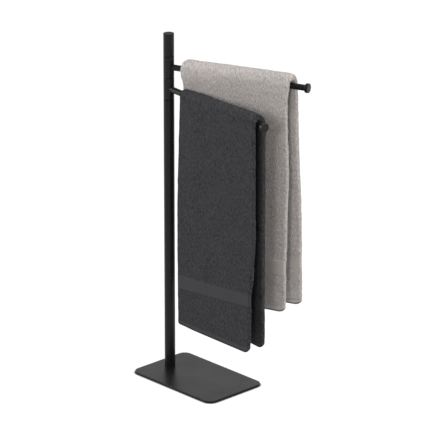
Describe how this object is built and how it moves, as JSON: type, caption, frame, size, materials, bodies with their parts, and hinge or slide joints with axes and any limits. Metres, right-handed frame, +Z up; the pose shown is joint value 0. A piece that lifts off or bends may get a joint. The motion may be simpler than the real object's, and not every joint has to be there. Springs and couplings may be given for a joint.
{
  "type": "freestanding towel stand",
  "caption": "Freestanding towel stand: a flat rectangular base, an upright post near one end, and swivelling arms with round end knobs, each carrying a folded towel.",
  "frame": {"origin": "on the floor under the middle of the base plate, on the anti-slip sheet's underside", "axes": "+Z up along the post, +X along the base plate's long side, away from the post"},
  "size_m": [0.4403, 0.251, 0.925],
  "materials": {
    "powder_coat": "matte",
    "anti_slip": "matte",
    "bright_steel": "satin",
    "zinc_steel": "satin",
    "black_nylon": "matte",
    "taupe_terry": "matte",
    "charcoal_terry": "matte"
  },
  "bodies": {
    "stand": {"base_plate": "powder_coat", "anti_slip_sheet": "anti_slip", "post_screw": "zinc_steel", "anti_turn_pin": "bright_steel", "post_foot_plug": "bright_steel", "lower_post": "powder_coat", "post_head_plug": "bright_steel", "spindle": "bright_steel", "lower_washer": "black_nylon", "middle_washer": "black_nylon", "upper_washer": "black_nylon", "top_tube": "powder_coat", "top_plug": "bright_steel", "spring_washer": "bright_steel", "clamp_nut": "zinc_steel", "top_cap": "powder_coat"},
    "upper_arm": {"upper_sleeve": "powder_coat", "upper_bottom_bush": "black_nylon", "upper_top_bush": "black_nylon", "upper_arm_tube": "powder_coat", "upper_root_plug": "bright_steel", "upper_arm_screw": "zinc_steel", "upper_knob": "powder_coat", "upper_towel": "taupe_terry"},
    "lower_arm": {"lower_sleeve": "powder_coat", "lower_bottom_bush": "black_nylon", "lower_top_bush": "black_nylon", "lower_arm_tube": "powder_coat", "lower_root_plug": "bright_steel", "lower_arm_screw": "zinc_steel", "lower_knob": "powder_coat", "lower_towel": "charcoal_terry"}
  },
  "joints": [
    {"name": "upper_arm_swing", "type": "hinge", "parent": "stand", "child": "upper_arm", "pos_m": [-0.105, 0, 0.8], "axis": [0, 0, 1], "range_deg": [0, 145]},
    {"name": "lower_arm_swing", "type": "hinge", "parent": "stand", "child": "lower_arm", "pos_m": [-0.105, 0, 0.8], "axis": [0, 0, 1], "range_deg": [-145, 0]}
  ]
}
